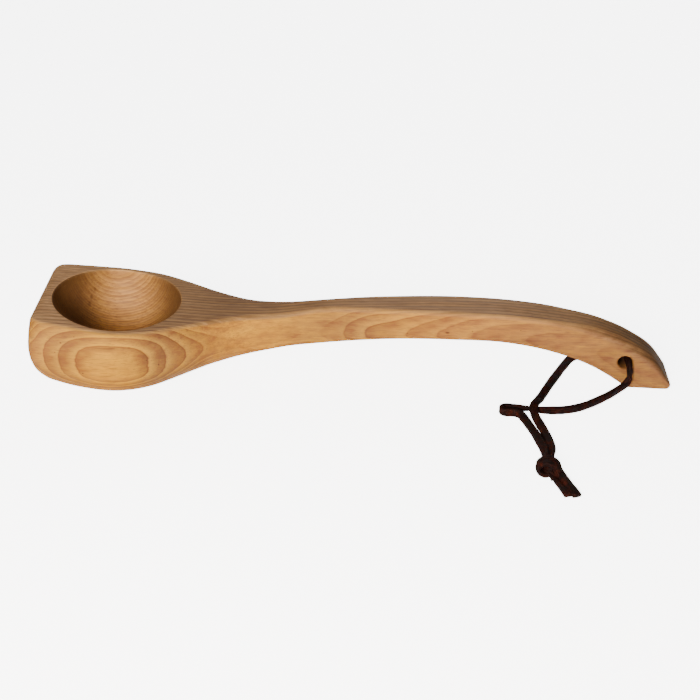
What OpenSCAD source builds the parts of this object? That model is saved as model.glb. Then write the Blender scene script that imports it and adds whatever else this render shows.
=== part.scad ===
// Carved wooden ladle with a leather hanging lace.
//
// The ladle is one piece of wood: a squarish head with a round bowl, a slim neck, and an arched
// handle with a hanging hole through its tip. The head and the tip are planed flat underneath,
// so the ladle stands on a table. The lace is one flat strip of leather. It goes through the
// hole, and an overhand knot ties its two ends together, so that it makes a loop to hang by.
//
// X runs from the head's end to the handle's tip, Y across, Z up. The origin is on the table,
// under the middle of the ladle.

/* [Ladle] */
// Length from the head's end to the handle's tip
ladle_length = 400; // [396:1:404]
// Width of the head at its widest, across its rounded sides
head_width = 97; // [95:0.5:100]
// Height of the rim over the table, at the middle of the bowl
rim_height = 51; // [50:0.5:53]
// Height of the handle's top over the table, where its arch is highest
arch_height = 52.5; // [51:0.5:55]
// Thickness of the handle from top to bottom, at the middle of the arch
handle_depth = 20.5; // [18:0.5:24]
// Width of the handle at its slimmest place, behind the head
neck_width = 16; // [14:0.5:20]
// Width of the handle along the grip
grip_width = 26; // [24:0.5:30]
// Height of the blunt end at the tip
tip_height = 4; // [3:0.5:5]

/* [Edges] */
// Radius of the softened edge along both sides of the top
top_round = 3; // [2:0.5:4]
// Radius of that edge where the handle ends in its tip
tip_edge_round = 7; // [5:0.5:8]
// Radius of the tip's end seen from the side, at the bottom
tip_bottom_round = 3.2; // [2:0.1:4]
// Radius of the softened edge along both sides of the handle's underside
under_round = 4; // [2:0.5:6]
// Radius of the head's end seen from the side, at the rim
end_top_round = 6; // [4:0.5:8]
// Radius of the head's end seen from the side, at the bottom
end_bottom_round = 10.5; // [8:0.5:16]
// Radius of the head's two outer corners seen from above, along the rim
end_corner_round = 11; // [8:0.5:12]
// Radius of the same corners where the head is widest, half way down
end_corner_low = 3; // [2:0.5:6]

/* [Bowl] */
// Radius of the bowl, which is half a ball
bowl_radius = 40; // [36:0.5:41]
// Distance from the head's end to the middle of the bowl
bowl_inset = 48.5; // [47:0.5:50]

/* [Hanging hole] */
// Diameter of the hole
hole_diameter = 9; // [8.5:0.5:10]
// Distance from the tip to the middle of the hole
hole_inset = 30; // [29:0.5:32]
// Height of the middle of the hole over the table
hole_height = 19; // [18:0.5:20]
// Depth of the bevel around each mouth of the hole
hole_bevel = 1.2; // [0.5:0.1:1.5]

/* [Lace] */
// Width of the leather strip
lace_width = 5.4; // [5:0.1:5.6]
// Thickness of the leather strip
lace_thickness = 2.9; // [2.4:0.1:3]
// Height of the knot
knot_height = 10.5; // [9:0.5:12]
// Width of the knot
knot_width = 15.5; // [14:0.5:18]

/* [Hidden] */

head_end = -ladle_length / 2;
tip_end = ladle_length / 2;
bowl_x = head_end + bowl_inset;
hole_x = tip_end - hole_inset;
head_half = head_width / 2;
neck_half = neck_width / 2;
grip_half = grip_width / 2;
arch_under = arch_height - handle_depth;

// Planing takes this much off the head's bottom and the tip's underside
planed_off = 0.5;

// Upper edge seen from the side: [x, height over the table]
TOP_LINE = [
    [head_end, rim_height + 6.5],
    [head_end + 25, rim_height + 3.5],
    [head_end + 55, rim_height],
    [head_end + 85, rim_height - 1.5],
    [head_end + 115, rim_height - 3],
    [head_end + 150, rim_height - 3.5],
    [head_end + 185, arch_height - 1],
    [head_end + 225, arch_height],
    [tip_end - 135, arch_height - 0.5],
    [tip_end - 100, arch_height - 2.5],
    [tip_end - 70, arch_height - 6.7],
    [tip_end - 45, arch_height - 12.2],
    [tip_end - 25, arch_height - 21.9],
    [tip_end - 10, arch_height - 33.7],
    [tip_end, tip_height]
];

// Lower edge seen from the side, before the planing: [x, height over the table]
BOTTOM_LINE = [
    [head_end, 7],
    [head_end + 25, 1],
    [head_end + 50, -planed_off],
    [head_end + 75, 2],
    [head_end + 100, 8.5],
    [head_end + 125, 16],
    [head_end + 150, 22.5],
    [head_end + 180, 25.5],
    [head_end + 220, arch_under - 1.5],
    [tip_end - 140, arch_under],
    [tip_end - 105, arch_under - 1.5],
    [tip_end - 75, arch_under - 8],
    [tip_end - 50, arch_under - 18],
    [tip_end - 28, 0],
    [tip_end - 15, -10],
    [tip_end, -20]
];

// Half of the outline seen from above: [x, distance from the middle]
SIDE_LINE = [
    [head_end, head_half - 5],
    [head_end + 28, head_half - 1.5],
    [head_end + 52, head_half],
    [head_end + 72, head_half - 4],
    [head_end + 90, head_half - 13],
    [head_end + 110, head_half - 25],
    [head_end + 130, head_half - 34.5],
    [head_end + 155, neck_half + 2],
    [head_end + 180, neck_half],
    [head_end + 215, neck_half + 2.5],
    [tip_end - 140, grip_half],
    [tip_end - 90, grip_half],
    [tip_end - 45, grip_half - 0.5],
    [tip_end, grip_half + 2]
];

// The head's sides swell out below the rim and round under towards the bottom. This shape
// fades into the handle's squarer section over the shoulders.
swell = [0.4, 4.5];
under_tall = [under_round, 34];
under_wide = [under_round, 32];
shoulder_start = head_end + 75;
shoulder_end = head_end + 150;

// Cross-sections and the points around one
END_STEPS = 7;
BODY_STEPS = 46;
TIP_STEPS = 5;
EDGE_STEPS = 4;
SIDE_STEPS = 4;
UNDER_STEPS = 6;

// Slope of the smooth curve at point i of a line
function slope(line, i) =
    let (n = len(line) - 1)
    i == 0 ? step_slope(line, 0)
    : i == n ? step_slope(line, n - 1)
    : let (
        before = line[i].x - line[i - 1].x,
        after = line[i + 1].x - line[i].x
    )
    (step_slope(line, i - 1) * after + step_slope(line, i) * before) / (before + after);

function step_slope(line, i) = (line[i + 1].y - line[i].y) / (line[i + 1].x - line[i].x);

// Which step of the line holds x
function step_of(line, x) = max([0, for (i = [0:len(line) - 2]) if (line[i].x <= x) i]);

// Height of the smooth curve through a line's points, at x
function along(line, x) =
    let (
        i = step_of(line, x),
        w = line[i + 1].x - line[i].x,
        t = (x - line[i].x) / w
    )
    (2 * t ^ 3 - 3 * t ^ 2 + 1) * line[i].y
    + (t ^ 3 - 2 * t ^ 2 + t) * w * slope(line, i)
    + (3 * t ^ 2 - 2 * t ^ 3) * line[i + 1].y
    + (t ^ 3 - t ^ 2) * w * slope(line, i + 1);

// How far a quarter round of radius r draws the surface in, at depth d behind the end
function quarter(d, r) = d >= r ? 0 : r - sqrt(r ^ 2 - (r - d) ^ 2);

function ease(t) = let (u = min(1, max(0, t))) u * u * (3 - 2 * u);
function shoulder(x) = 1 - ease((x - shoulder_start) / (shoulder_end - shoulder_start));
function blend(pair, x) = pair[0] + (pair[1] - pair[0]) * shoulder(x);

function top_at(x) = along(TOP_LINE, x) - quarter(x - head_end, end_top_round);
function bottom_at(x) =
    max(along(BOTTOM_LINE, x), -planed_off)
    + quarter(x - head_end, end_bottom_round)
    + quarter(tip_end - x, tip_bottom_round);
function edge_round(x) =
    top_round + (tip_edge_round - top_round) * ease((x - hole_x + 55) / 50);
function half_at(x) =
    along(SIDE_LINE, x) - quarter(x - head_end, end_corner_low) - quarter(tip_end - x, 2);

// How far the side face draws in at the top edge, which makes the corners rounder there
function swell_at(x) =
    blend(swell, x)
    + quarter(x - head_end, end_corner_round)
    - quarter(x - head_end, end_corner_low);

// One half of the section at x, from the top's edge to the underside: [y, z]
function half_section(x) =
    let (
        top = top_at(x),
        bottom = bottom_at(x),
        half = half_at(x),
        tall = min(blend(under_tall, x), 0.6 * (top - bottom)),
        wide = min(blend(under_wide, x), 0.95 * half),
        bulge = swell_at(x),
        r = min(edge_round(x), 0.3 * (top - bottom)),
        widest = bottom + tall,
        lean = atan(2 * bulge * (top - r - widest) / (top - widest) ^ 2),
        edge_z = top - r * (1 - sin(lean)),
        edge_y = half - bulge * ((edge_z - widest) / (top - widest)) ^ 2 - r * cos(lean)
    )
    concat(
        [for (i = [0:EDGE_STEPS]) let (a = (90 - lean) * i / EDGE_STEPS)
            [edge_y + r * sin(a), top - r * (1 - cos(a))]],
        [for (i = [1:SIDE_STEPS]) let (z = edge_z + (widest - edge_z) * i / SIDE_STEPS)
            [half - bulge * ((z - widest) / (top - widest)) ^ 2, z]],
        [for (i = [1:UNDER_STEPS]) let (a = 90 * i / UNDER_STEPS)
            [half - wide * (1 - cos(a)), bottom + tall * (1 - sin(a))]]
    );

function section(x) =
    let (h = half_section(x), n = len(h))
    concat([for (p = h) [x, -p[0], p[1]]], [for (i = [n - 1:-1:0]) [x, h[i][0], h[i][1]]]);

// Stations close together around the head's end and the tip, where the shape turns fastest
STATIONS = concat(
    [for (i = [0:END_STEPS - 1]) head_end + end_bottom_round * (1 - cos(90 * i / END_STEPS))],
    [for (i = [0:BODY_STEPS])
        head_end + end_bottom_round
        + (ladle_length - end_bottom_round - hole_inset) * i / BODY_STEPS],
    [for (i = [1:TIP_STEPS]) hole_x + (hole_inset - 2) * sin(90 * i / TIP_STEPS)],
    [tip_end - 0.6, tip_end]
);

// Closed skin over rings of the same number of points
module skin(rings) {
    n = len(rings[0]);
    last = (len(rings) - 1) * n;
    sides = [
        for (i = [0:len(rings) - 2], j = [0:n - 1])
        let (a = i * n + j, b = i * n + (j + 1) % n)
        each [[a, b, b + n], [a, b + n, a + n]]
    ];
    start_cap = [for (j = [n - 1:-1:0]) j];
    end_cap = [for (j = [0:n - 1]) last + j];
    polyhedron(points = [for (r = rings, p = r) p], faces = concat(sides, [start_cap, end_cap]));
}

module planing() {
    translate([head_end - 10, -head_width, -30])
        cube([ladle_length + 20, 2 * head_width, 30]);
}

module bowl() {
    translate([bowl_x, 0, along(TOP_LINE, bowl_x)])
        sphere(r = bowl_radius, $fn = 96);
}

module hanging_hole() {
    bevelled = half_at(hole_x) - hole_bevel;
    translate([hole_x, 0, hole_height])
        rotate([90, 0, 0]) {
            cylinder(d = hole_diameter, h = 2 * grip_width, center = true, $fn = 48);
            for (side = [0, 180])
                rotate([side, 0, 0])
                    translate([0, 0, bevelled])
                        cylinder(
                            d1 = hole_diameter,
                            d2 = hole_diameter + 4 * hole_bevel,
                            h = 2 * hole_bevel,
                            $fn = 48
                        );
        }
}

module wooden_ladle() {
    color("peru")
        difference() {
            skin([for (x = STATIONS) section(x)]);
            planing();
            bowl();
            hanging_hole();
        }
}

// The lace. Each place on its route is [x, y, z, turn]: the middle of the strip, and how far the
// strip is turned on edge, from 0 flat to 90 upright.
NEAR_ROUTE = [
    [172, 0, 19, 90],
    [172, -8, 19, 90],
    [172.2, -12.6, 18.8, 90],
    [172.6, -15, 16.8, 90],
    [172.8, -16.4, 13.2, 88],
    [172.4, -17.4, 9.6, 84],
    [170.4, -18.6, 6.4, 80],
    [167, -20.5, 4.7, 80],
    [162, -24.2, 3.4, 82],
    [155.5, -29.6, 3, 84],
    [148.5, -35.1, 2.9, 85],
    [140.5, -40.3, 2.85, 85],
    [131, -43.9, 2.85, 83],
    [121.5, -44.8, 2.8, 76],
    [115.5, -44.2, 2.6, 60],
    [109, -42.7, 2.5, 38],
    [105, -42.8, 2.7, 50],
    [98.5, -42.7, 2.85, 80],
    [94, -42.2, 2.8, 90],
    [91.9, -43, 2.8, 90],
    [91.1, -44.8, 2.8, 90],
    [91.9, -46.6, 2.8, 90],
    [94, -47.5, 2.8, 90],
    [98.5, -47.8, 2.85, 75],
    [102.6, -50, 2.6, 40],
    [105, -54.2, 1.9, 15],
    [107.5, -61, 1.5, 0],
    [110, -69, 1.5, 0],
    [112.2, -78, 1.5, 0],
    [113.8, -87, 2.2, 20],
    [114.2, -94, 2.9, 55],
    [113.8, -100, 4, 75],
    [113.8, -105.5, 5, 80]
];
FAR_ROUTE = [
    [172, 0, 19, 90],
    [172, 8, 19, 90],
    [171.8, 13.2, 18.6, 90],
    [170.8, 16.4, 15.6, 85],
    [168.8, 19, 10.4, 60],
    [165, 21.6, 5.2, 25],
    [158.6, 24.4, 2.1, 5],
    [152, 25.8, 1.5, 0],
    [146.2, 25, 1.5, 0],
    [141, 21.4, 1.5, 0],
    [135.4, 12, 1.5, 0],
    [129.3, -0.4, 1.5, 0],
    [123.4, -12.8, 1.5, 0],
    [118.6, -24, 1.6, 0],
    [115.4, -32, 2.6, 0],
    [112.8, -38.6, 4.5, 0],
    [111, -44.4, 5.4, 0],
    [110.6, -49.2, 5, 0],
    [111.6, -53.8, 3.4, 0],
    [113.4, -58.2, 2, 0],
    [115.4, -65, 1.5, 0],
    [117.1, -73, 1.5, 0],
    [118, -81, 1.8, 10],
    [117.9, -89, 2.8, 45],
    [117, -96, 3.4, 70],
    [116.4, -101, 4.2, 80],
    [116.4, -105.5, 5, 80]
];
LEFT_TAIL = [
    [115.8, -107, 4.4, 0],
    [117.2, -111.6, 2.9, 0],
    [118.8, -116, 1.8, 0],
    [120.8, -121.6, 1.5, 0],
    [122.4, -126.6, 1.5, 0],
    [123.6, -131, 1.5, 0]
];
RIGHT_TAIL = [
    [117.8, -106.5, 5.8, 0],
    [119.2, -110.6, 4.8, -5],
    [121.3, -115, 3.8, -15],
    [123.9, -120.6, 2.9, -25],
    [126.5, -126.4, 2.1, -15],
    [128.3, -131.5, 1.6, 0]
];
KNOT_PLACE = [114.2, -109.3];

// The strip's own section, with its corners taken off: [across, through]
STRIP = [
    [0.5, 0.25], [0.36, 0.5], [-0.36, 0.5], [-0.5, 0.25],
    [-0.5, -0.25], [-0.36, -0.5], [0.36, -0.5], [0.5, -0.25]
];

function heading(route, i) =
    let (
        a = route[max(0, i - 1)],
        b = route[min(len(route) - 1, i + 1)],
        d = [b[0] - a[0], b[1] - a[1], b[2] - a[2]]
    )
    d / norm(d);

function strip_ring(place, ahead) =
    let (
        level = [ahead.y, -ahead.x, 0] / norm([ahead.y, -ahead.x, 0]),
        upright = cross(ahead, level),
        across = level * cos(place[3]) + upright * sin(place[3]),
        through = cross(ahead, across),
        middle = [place[0], place[1], place[2]]
    )
    [for (s = STRIP) middle + across * s[0] * lace_width + through * s[1] * lace_thickness];

module strip(route) {
    color("#2e140b")
        skin([for (i = [0:len(route) - 1]) strip_ring(route[i], heading(route, i))]);
}

module lace_near_leg() {
    strip(NEAR_ROUTE);
}

module lace_far_leg() {
    strip(FAR_ROUTE);
}

module lace_knot() {
    spread = (knot_width - knot_height) / 2;
    color("#2e140b")
        translate([KNOT_PLACE.x, KNOT_PLACE.y, knot_height / 2])
            hull()
                for (side = [-1, 1])
                    translate([side * spread, 0, 0])
                        sphere(d = knot_height, $fn = 24);
}

module lace_left_tail() {
    strip(LEFT_TAIL);
}

module lace_right_tail() {
    strip(RIGHT_TAIL);
}

wooden_ladle();
lace_near_leg();
lace_far_leg();
lace_knot();
lace_left_tail();
lace_right_tail();
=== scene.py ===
"""Carved wooden ladle with a knotted leather hanging lace.

Everything is placed in metres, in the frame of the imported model. The shape functions work in
millimetres, as the design does, and MM converts."""

import math

import bmesh
import bpy
import numpy as np
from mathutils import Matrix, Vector


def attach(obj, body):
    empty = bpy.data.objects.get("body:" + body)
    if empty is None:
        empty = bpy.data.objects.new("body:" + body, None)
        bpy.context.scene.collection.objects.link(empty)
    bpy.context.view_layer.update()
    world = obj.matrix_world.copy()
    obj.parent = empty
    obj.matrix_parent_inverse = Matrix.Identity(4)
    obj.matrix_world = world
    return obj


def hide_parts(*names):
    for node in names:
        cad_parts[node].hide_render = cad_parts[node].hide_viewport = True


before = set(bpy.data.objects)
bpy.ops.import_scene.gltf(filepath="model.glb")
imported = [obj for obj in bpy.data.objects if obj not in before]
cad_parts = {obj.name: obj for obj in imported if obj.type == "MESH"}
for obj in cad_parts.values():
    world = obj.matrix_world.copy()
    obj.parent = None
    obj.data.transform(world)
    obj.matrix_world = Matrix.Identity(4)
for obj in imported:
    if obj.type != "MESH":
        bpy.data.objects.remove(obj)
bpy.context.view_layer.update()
MM = 0.001

# ---------------------------------------------------------------------------------------------
# Camera: 70 mm lens on a 36 mm sensor, looking down at the ladle from its near side
# ---------------------------------------------------------------------------------------------
CAMERA_TARGET = Vector((-3.96, 0, 17.34)) * MM
CAMERA_DISTANCE = 874.77 * MM
CAMERA_TURN = math.radians(1.99)
CAMERA_HEIGHT = math.radians(30.15)


def make_camera():
    data = bpy.data.cameras.new("camera")
    data.lens = 70
    data.sensor_width = 36
    camera = bpy.data.objects.new("camera", data)
    bpy.context.scene.collection.objects.link(camera)
    level = math.cos(CAMERA_HEIGHT)
    back = Vector((
        math.sin(CAMERA_TURN) * level,
        -math.cos(CAMERA_TURN) * level,
        math.sin(CAMERA_HEIGHT),
    ))
    camera.location = CAMERA_TARGET + back * CAMERA_DISTANCE
    camera.rotation_euler = (math.pi / 2 - CAMERA_HEIGHT, 0, CAMERA_TURN)
    bpy.context.scene.camera = camera


make_camera()


# ---------------------------------------------------------------------------------------------
# Small helpers
# ---------------------------------------------------------------------------------------------
def add_mesh(name, points_mm, faces, material, attributes=None):
    """A smooth mesh object from points in millimetres, with float attributes on its points."""
    mesh = bpy.data.meshes.new(name)
    mesh.from_pydata((np.asarray(points_mm, float) * MM).tolist(), [], faces)
    for key, values in (attributes or {}).items():
        layer = mesh.attributes.new(key, "FLOAT", "POINT")
        layer.data.foreach_set("value", np.asarray(values, np.float32))
    outward = bmesh.new()
    outward.from_mesh(mesh)
    bmesh.ops.recalc_face_normals(outward, faces=outward.faces)
    outward.to_mesh(mesh)
    outward.free()
    mesh.polygons.foreach_set("use_smooth", [True] * len(mesh.polygons))
    mesh.update()
    piece = bpy.data.objects.new(name, mesh)
    bpy.context.scene.collection.objects.link(piece)
    mesh.materials.append(material)
    return piece


def ease(t):
    u = np.clip(t, 0, 1)
    return u * u * (3 - 2 * u)


def along(line, x):
    """Height at x of the smooth curve through a line's points: cubic pieces, as in the design."""
    p = np.asarray(line, float)
    steps = np.diff(p[:, 1]) / np.diff(p[:, 0])
    w = np.diff(p[:, 0])
    inner = (steps[:-1] * w[1:] + steps[1:] * w[:-1]) / (w[:-1] + w[1:])
    slopes = np.concatenate([steps[:1], inner, steps[-1:]])
    x = np.asarray(x, float)
    i = np.clip(np.searchsorted(p[:, 0], x, side="right") - 1, 0, len(w) - 1)
    t = (x - p[i, 0]) / w[i]
    return (
        (2 * t**3 - 3 * t**2 + 1) * p[i, 1]
        + (t**3 - 2 * t**2 + t) * w[i] * slopes[i]
        + (3 * t**2 - 2 * t**3) * p[i + 1, 1]
        + (t**3 - t**2) * w[i] * slopes[i + 1]
    )


def smooth_path(points, spacing):
    """Rows resampled evenly along a smooth curve through the given rows; x, y, z come first."""
    p = np.asarray(points, float)
    chord = np.linalg.norm(np.diff(p[:, :3], axis=0), axis=1)
    at = np.concatenate([[0], np.cumsum(chord)])
    lines = [np.stack([at, p[:, k]], 1) for k in range(p.shape[1])]
    fine = np.linspace(0, at[-1], 20 * len(p))
    rows = np.stack([along(line, fine) for line in lines], 1)
    run = np.concatenate([[0], np.cumsum(np.linalg.norm(np.diff(rows[:, :3], axis=0), axis=1))])
    even = np.linspace(0, run[-1], max(3, round(run[-1] / spacing) + 1))
    return np.stack([np.interp(even, run, rows[:, k]) for k in range(rows.shape[1])], 1)


def unit(v):
    return v / np.linalg.norm(v, axis=-1, keepdims=True)


# ---------------------------------------------------------------------------------------------
# Node material helpers
# ---------------------------------------------------------------------------------------------
class Nodes:
    """Short calls for building one material's node tree."""

    def __init__(self, name):
        self.material = bpy.data.materials.new(name)
        self.material.use_nodes = True
        self.tree = self.material.node_tree
        self.shader = self.tree.nodes["Principled BSDF"]

    def new(self, kind, **settings):
        node = self.tree.nodes.new(kind)
        for key, value in settings.items():
            setattr(node, key, value)
        return node

    def put(self, socket, value):
        if isinstance(value, bpy.types.NodeSocket):
            self.tree.links.new(value, socket)
        else:
            socket.default_value = value

    def math(self, operation, a, b=0.0):
        node = self.new("ShaderNodeMath", operation=operation)
        self.put(node.inputs[0], a)
        self.put(node.inputs[1], b)
        return node.outputs[0]

    def attribute(self, name):
        return self.new("ShaderNodeAttribute", attribute_name=name).outputs["Fac"]

    def position(self, scale):
        """The point's place in metres, each axis scaled by its own number."""
        place = self.new("ShaderNodeTexCoord").outputs["Object"]
        node = self.new("ShaderNodeVectorMath", operation="MULTIPLY")
        self.put(node.inputs[0], place)
        self.put(node.inputs[1], scale)
        return node.outputs[0]

    def noise(self, vector, scale=1.0, detail=2.0, rough=0.5):
        node = self.new("ShaderNodeTexNoise")
        self.put(node.inputs["Vector"], vector)
        node.inputs["Scale"].default_value = scale
        node.inputs["Detail"].default_value = detail
        node.inputs["Roughness"].default_value = rough
        return node.outputs["Fac"]

    def noise_1d(self, value, scale=1.0, detail=0.0):
        node = self.new("ShaderNodeTexNoise", noise_dimensions="1D")
        self.put(node.inputs["W"], value)
        node.inputs["Scale"].default_value = scale
        node.inputs["Detail"].default_value = detail
        return node.outputs["Fac"]

    def ramp(self, value, stops):
        """Colours, or plain values, in order of the places given with them."""
        node = self.new("ShaderNodeValToRGB")
        marks = node.color_ramp.elements
        while len(marks) < len(stops):
            marks.new(0.5)
        for mark, (at, _) in zip(marks, stops):
            mark.position = at
        for mark, (_, colour) in zip(marks, stops):
            mark.color = (colour,) * 3 + (1,) if isinstance(colour, float) else (*colour, 1)
        self.put(node.inputs[0], value)
        return node.outputs[0]

    def between(self, value, low, high, low_out=0.0, high_out=1.0):
        """Goes smoothly from one output to the other while the value goes from low to high."""
        node = self.new("ShaderNodeMapRange", interpolation_type="SMOOTHSTEP")
        self.put(node.inputs["Value"], value)
        node.inputs["From Min"].default_value = low
        node.inputs["From Max"].default_value = high
        node.inputs["To Min"].default_value = low_out
        node.inputs["To Max"].default_value = high_out
        return node.outputs[0]

    def mix(self, share, a, b, how="MIX"):
        node = self.new("ShaderNodeMix", data_type="RGBA", blend_type=how)
        self.put(node.inputs[0], share)
        for socket, value in ((node.inputs[6], a), (node.inputs[7], b)):
            self.put(socket, (*value, 1) if isinstance(value, tuple) else value)
        return node.outputs[2]

    def toned(self, value, green, blue, cool):
        """A colour to multiply by: green and blue follow the value by powers of their own, and
        blue is also multiplied by cool."""
        node = self.new("ShaderNodeCombineColor")
        self.put(node.inputs[0], value)
        self.put(node.inputs[1], self.math("POWER", value, green))
        self.put(node.inputs[2], self.math("MULTIPLY", self.math("POWER", value, blue), cool))
        return node.outputs[0]

    def mix_value(self, share, a, b):
        node = self.new("ShaderNodeMix", data_type="FLOAT")
        self.put(node.inputs[0], share)
        self.put(node.inputs[2], a)
        self.put(node.inputs[3], b)
        return node.outputs[0]

    def spots(self, marks):
        """1 inside any of the given small ellipsoids, fading to 0 just outside them."""
        place = self.new("ShaderNodeTexCoord").outputs["Object"]
        total = 0.0
        for x, y, z, rx, ry, rz, strength in marks:
            away = self.new("ShaderNodeVectorMath", operation="SUBTRACT")
            self.put(away.inputs[0], place)
            away.inputs[1].default_value = (x * MM, y * MM, z * MM)
            shares = self.new("ShaderNodeVectorMath", operation="DIVIDE")
            self.put(shares.inputs[0], away.outputs[0])
            shares.inputs[1].default_value = (rx * MM, ry * MM, rz * MM)
            size = self.new("ShaderNodeVectorMath", operation="LENGTH")
            self.put(size.inputs[0], shares.outputs[0])
            spot = self.between(size.outputs["Value"], 0.5, 1.3, strength, 0.0)
            total = self.math("MAXIMUM", spot, total)
        return total

    def bump(self, height, strength, distance):
        node = self.new("ShaderNodeBump")
        node.inputs["Strength"].default_value = strength
        node.inputs["Distance"].default_value = distance
        self.put(node.inputs["Height"], height)
        return node.outputs[0]


# ---------------------------------------------------------------------------------------------
# Leather
# ---------------------------------------------------------------------------------------------
def make_leather():
    n = Nodes("leather_lace")
    fibres = n.noise(n.position((1.0, 1.0, 1.0)), scale=1300, detail=4, rough=0.7)
    patches = n.noise(n.position((1.0, 1.0, 1.0)), scale=200, detail=3, rough=0.55)
    tone = n.math("ADD", n.math("MULTIPLY", fibres, 0.5), n.math("MULTIPLY", patches, 0.5))
    colour = n.ramp(
        tone,
        [
            (0.36, (0.0030, 0.0010, 0.0006)),
            (0.50, (0.0110, 0.0022, 0.0011)),
            (0.64, (0.056, 0.0100, 0.0038)),
        ],
    )
    n.put(n.shader.inputs["Base Color"], colour)
    n.put(n.shader.inputs["Roughness"], n.between(patches, 0.3, 0.7, 0.6, 0.85))
    n.shader.inputs["Specular IOR Level"].default_value = 0.12
    n.put(n.shader.inputs["Normal"], n.bump(fibres, 0.6, 0.0003))
    return n.material


LEATHER = make_leather()


# ---------------------------------------------------------------------------------------------
# Lace. A place on a route is [x, y, z, turn] in metres and degrees: the middle of the strip, and
# how far the strip is turned on edge, from 0 flat to 90 upright.
# ---------------------------------------------------------------------------------------------
NEAR_ROUTE = [
    [0.172, 0, 0.019, 90],
    [0.172, -0.008, 0.019, 90],
    [0.1722, -0.0126, 0.0188, 90],
    [0.1726, -0.015, 0.0168, 90],
    [0.1728, -0.0164, 0.0132, 88],
    [0.1724, -0.0174, 0.0096, 84],
    [0.1704, -0.0186, 0.0064, 80],
    [0.167, -0.0205, 0.0047, 80],
    [0.162, -0.0242, 0.0034, 82],
    [0.1555, -0.0296, 0.003, 84],
    [0.1485, -0.0351, 0.0029, 85],
    [0.1405, -0.0403, 0.00285, 85],
    [0.131, -0.0439, 0.00285, 83],
    [0.1215, -0.0448, 0.0028, 76],
    [0.1155, -0.0442, 0.0026, 60],
    [0.109, -0.0427, 0.0025, 38],
    [0.105, -0.0428, 0.0027, 50],
    [0.0985, -0.0427, 0.00285, 80],
    [0.094, -0.0422, 0.0028, 90],
    [0.0919, -0.043, 0.0028, 90],
    [0.0911, -0.0448, 0.0028, 90],
    [0.0919, -0.0466, 0.0028, 90],
    [0.094, -0.0475, 0.0028, 90],
    [0.0985, -0.0478, 0.00285, 75],
    [0.1026, -0.05, 0.0026, 40],
    [0.105, -0.0542, 0.0019, 15],
    [0.1075, -0.061, 0.0015, 0],
    [0.11, -0.069, 0.0015, 0],
    [0.1122, -0.078, 0.0015, 0],
    [0.1138, -0.087, 0.0022, 20],
    [0.1142, -0.094, 0.0029, 55],
    [0.1138, -0.1, 0.004, 75],
    [0.1138, -0.1055, 0.005, 80],
]
FAR_ROUTE = [
    [0.172, 0, 0.019, 90],
    [0.172, 0.008, 0.019, 90],
    [0.1718, 0.0132, 0.0186, 90],
    [0.1708, 0.0164, 0.0156, 85],
    [0.1688, 0.019, 0.0104, 60],
    [0.165, 0.0216, 0.0052, 25],
    [0.1586, 0.0244, 0.0021, 5],
    [0.152, 0.0258, 0.0015, 0],
    [0.1462, 0.025, 0.0015, 0],
    [0.141, 0.0214, 0.0015, 0],
    [0.1354, 0.012, 0.0015, 0],
    [0.1293, -0.0004, 0.0015, 0],
    [0.1234, -0.0128, 0.0015, 0],
    [0.1186, -0.024, 0.0016, 0],
    [0.1154, -0.032, 0.0026, 0],
    [0.1128, -0.0386, 0.0045, 0],
    [0.111, -0.0444, 0.0054, 0],
    [0.1106, -0.0492, 0.005, 0],
    [0.1116, -0.0538, 0.0034, 0],
    [0.1134, -0.0582, 0.002, 0],
    [0.1154, -0.065, 0.0015, 0],
    [0.1171, -0.073, 0.0015, 0],
    [0.118, -0.081, 0.0018, 10],
    [0.1179, -0.089, 0.0028, 45],
    [0.117, -0.096, 0.0034, 70],
    [0.1164, -0.101, 0.0042, 80],
    [0.1164, -0.1055, 0.005, 80],
]
LEFT_TAIL = [
    [0.1158, -0.107, 0.0044, 0],
    [0.1172, -0.1116, 0.0029, 0],
    [0.1188, -0.116, 0.0018, 0],
    [0.1208, -0.1216, 0.0015, 0],
    [0.1224, -0.1266, 0.0015, 0],
    [0.1236, -0.131, 0.0015, 0],
]
RIGHT_TAIL = [
    [0.1178, -0.1065, 0.0058, 0],
    [0.1192, -0.1106, 0.0048, -5],
    [0.1213, -0.115, 0.0038, -15],
    [0.1239, -0.1206, 0.0029, -25],
    [0.1265, -0.1264, 0.0021, -15],
    [0.1283, -0.1315, 0.0016, 0],
]
LACE_WIDTH = 0.0054
LACE_THICKNESS = 0.0029
# Distance between the rings of points along the strip, in millimetres, and the least height of
# its skin over the table
RING_SPACING = 0.8
OFF_TABLE = 0.02

# Middle of the knot, and its two strands: [right, down the lace, up] from there in millimetres,
# then the way that the strip's width points. The knot is pulled a little tighter than its
# strands' points say, and the strip is squeezed narrower in it.
KNOT_MIDDLE = np.array([113.9, -109.4, 5.2])
KNOT_TIGHTENED = np.array([0.93, 0.95, 0.95])
KNOT_STRIP = (4.9, 2.8)
KNOT_RING_SPACING = 0.5
# Heights that the knot's skin stays between
KNOT_LOWEST, KNOT_HIGHEST = 0.05, 10.4
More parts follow.
